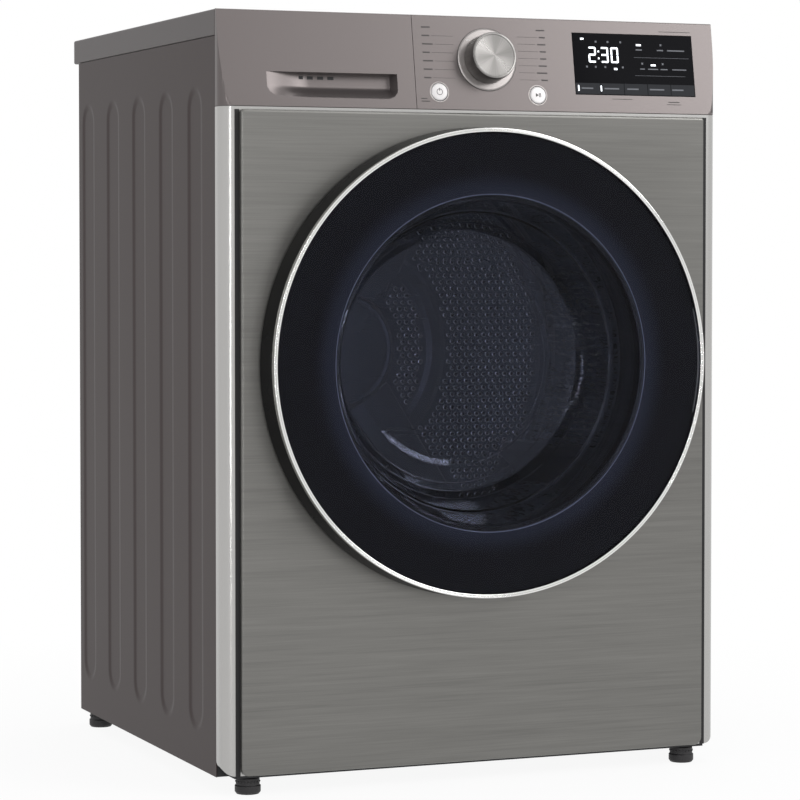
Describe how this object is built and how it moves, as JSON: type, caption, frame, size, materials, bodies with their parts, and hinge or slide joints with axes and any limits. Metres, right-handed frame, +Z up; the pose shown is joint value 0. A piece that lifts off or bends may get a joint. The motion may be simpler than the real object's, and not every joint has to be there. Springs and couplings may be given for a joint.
{
  "type": "clothes dryer",
  "caption": "Free-standing front-loading heat-pump clothes dryer with a round glass door, turning drum, water tank drawer, program knob and display.",
  "frame": {"origin": "centre of the overall box at floor level, under the soles of the feet", "axes": "+Z up, +X to the right when facing the door, -Y out of the door towards the user"},
  "size_m": [0.6, 0.615, 0.85],
  "materials": {
    "side_paint": "satin metallic paint",
    "worktop_paint": "satin metallic paint on a moulded board",
    "fascia_paint": "satin metallic paint",
    "frame_metal": "satin, bright rounded corners",
    "brushed_plate": "horizontal brushed grain",
    "chrome_trim": "polished",
    "black_gloss": "gloss",
    "black_plastic": "fine moulded texture",
    "grey_plastic": "satin",
    "white_plastic": "satin",
    "door_tint": "polished, dark printed border",
    "bowl_glass": "polished",
    "display_glass": "polished",
    "knob_metal": "radial spun cap, satin side",
    "button_plastic": "satin",
    "drum_steel": "satin, perforated",
    "galvanised": "zinc coated sheet",
    "bearing_steel": "ground",
    "rubber": "matte",
    "seal_felt": "matte",
    "compressor_black": "semi-gloss enamel",
    "motor_iron": "satin",
    "fins": "bare fins",
    "copper": "bare copper tube",
    "circuit_board": "solder mask",
    "lamp_lens": "frosted"
  },
  "bodies": {
    "cabinet": {"base_tub": "black_plastic", "left_side_panel": "side_paint", "right_side_panel": "side_paint", "rear_panel": "galvanised", "cord_inlet": "black_plastic", "worktop": "worktop_paint", "front_frame": "frame_metal", "front_face_plate": "brushed_plate", "door_latch_catch": "grey_plastic", "door_hinge_bracket": "galvanised", "control_panel": "fascia_paint", "display_window": "display_glass", "control_board": "circuit_board", "knob_bezel": "knob_metal", "tank_housing": "grey_plastic", "front_bulkhead": "galvanised", "door_seal": "seal_felt", "drum_lamp": "lamp_lens", "rear_duct": "galvanised", "rear_bearing": "bearing_steel", "drive_motor": "motor_iron", "drive_belt": "rubber", "fan_housing": "black_plastic", "idler_post": "galvanised", "compressor": "compressor_black", "evaporator": "fins", "condenser": "fins", "refrigerant_pipe": "copper", "drain_pump": "black_plastic"},
    "door": {"door_trim_ring": "chrome_trim", "door_glass": "door_tint", "door_frame": "black_gloss", "door_liner": "grey_plastic", "door_bowl": "bowl_glass", "door_knuckle": "galvanised", "door_latch_hook": "black_plastic"},
    "drum": {"drum_shell": "drum_steel", "drum_rear_wall": "drum_steel", "drum_lifter_1": "grey_plastic", "drum_lifter_2": "grey_plastic", "drum_lifter_3": "grey_plastic", "drum_shaft": "bearing_steel"},
    "roller_left": {"drum_roller_left": "rubber"},
    "roller_right": {"drum_roller_right": "rubber"},
    "motor_rotor": {"motor_pulley": "bearing_steel", "fan_wheel": "black_plastic"},
    "idler_lever": {"idler_arm": "galvanised"},
    "idler_wheel": {"idler_pulley": "bearing_steel"},
    "tank_drawer": {"tank_front": "fascia_paint", "water_tank": "white_plastic", "tank_lid": "white_plastic"},
    "program_knob": {"program_knob": "knob_metal"},
    "power_button": {"power_button": "button_plastic"},
    "start_button": {"start_button": "button_plastic"},
    "lint_filter": {"lint_filter": "white_plastic"},
    "foot_front_left": {"foot_front_left": "rubber"},
    "foot_front_right": {"foot_front_right": "rubber"},
    "foot_rear_left": {"foot_rear_left": "rubber"},
    "foot_rear_right": {"foot_rear_right": "rubber"}
  },
  "joints": [
    {"name": "door_hinge", "type": "hinge", "parent": "cabinet", "child": "door", "pos_m": [0.246, -0.2885, 0.466], "axis": [0, 0, 1], "range_deg": [0, 150]},
    {"name": "drum_spin", "type": "hinge", "parent": "cabinet", "child": "drum", "pos_m": [0, -0.0085, 0.466], "axis": [0, 1, 0], "continuous": true},
    {"name": "roller_left_spin", "type": "hinge", "parent": "cabinet", "child": "roller_left", "pos_m": [-0.17351, -0.1755, 0.21821], "axis": [0, 1, 0], "continuous": true},
    {"name": "roller_right_spin", "type": "hinge", "parent": "cabinet", "child": "roller_right", "pos_m": [0.17351, -0.1755, 0.21821], "axis": [0, 1, 0], "continuous": true},
    {"name": "motor_spin", "type": "hinge", "parent": "cabinet", "child": "motor_rotor", "pos_m": [0.17, -0.0985, 0.1], "axis": [0, 1, 0], "continuous": true},
    {"name": "idler_arm_swing", "type": "hinge", "parent": "cabinet", "child": "idler_lever", "pos_m": [0.096, -0.1085, 0.062], "axis": [0, 1, 0], "range_deg": [0, 12], "stiffness_Nm_per_rad": 20, "springref_deg": -17.19},
    {"name": "idler_spin", "type": "hinge", "parent": "idler_lever", "child": "idler_wheel", "pos_m": [0.06, -0.0985, 0.128], "axis": [0, 1, 0], "continuous": true},
    {"name": "tank_slide", "type": "slide", "parent": "cabinet", "child": "tank_drawer", "axis": [0, -1, 0], "range_m": [0, 0.38]},
    {"name": "knob_turn", "type": "hinge", "parent": "cabinet", "child": "program_knob", "pos_m": [0.0146, -0.24894, 0.802], "axis": [0, -0.9862, 0.1653], "continuous": true},
    {"name": "power_press", "type": "slide", "parent": "cabinet", "child": "power_button", "axis": [0, 0.9862, -0.1653], "range_m": [0, 0.0015], "stiffness_N_per_m": 500, "springref_m": -0.001},
    {"name": "start_press", "type": "slide", "parent": "cabinet", "child": "start_button", "axis": [0, 0.9862, -0.1653], "range_m": [0, 0.0015], "stiffness_N_per_m": 500, "springref_m": -0.001},
    {"name": "lint_filter_lift", "type": "slide", "parent": "cabinet", "child": "lint_filter", "axis": [0, 0, 1], "range_m": [0, 0.038]},
    {"name": "foot_front_left_screw", "type": "slide", "parent": "cabinet", "child": "foot_front_left", "axis": [0, 0, -1], "range_m": [0, 0.012]},
    {"name": "foot_front_right_screw", "type": "slide", "parent": "cabinet", "child": "foot_front_right", "axis": [0, 0, -1], "range_m": [0, 0.012]},
    {"name": "foot_rear_left_screw", "type": "slide", "parent": "cabinet", "child": "foot_rear_left", "axis": [0, 0, -1], "range_m": [0, 0.012]},
    {"name": "foot_rear_right_screw", "type": "slide", "parent": "cabinet", "child": "foot_rear_right", "axis": [0, 0, -1], "range_m": [0, 0.012]}
  ],
  "couplings": [
    {"joint": "roller_left_spin", "follows": "drum_spin", "ratio": -15.778},
    {"joint": "roller_right_spin", "follows": "drum_spin", "ratio": -15.778},
    {"joint": "motor_spin", "follows": "drum_spin", "ratio": 31.556},
    {"joint": "idler_spin", "follows": "drum_spin", "ratio": 17.75}
  ]
}
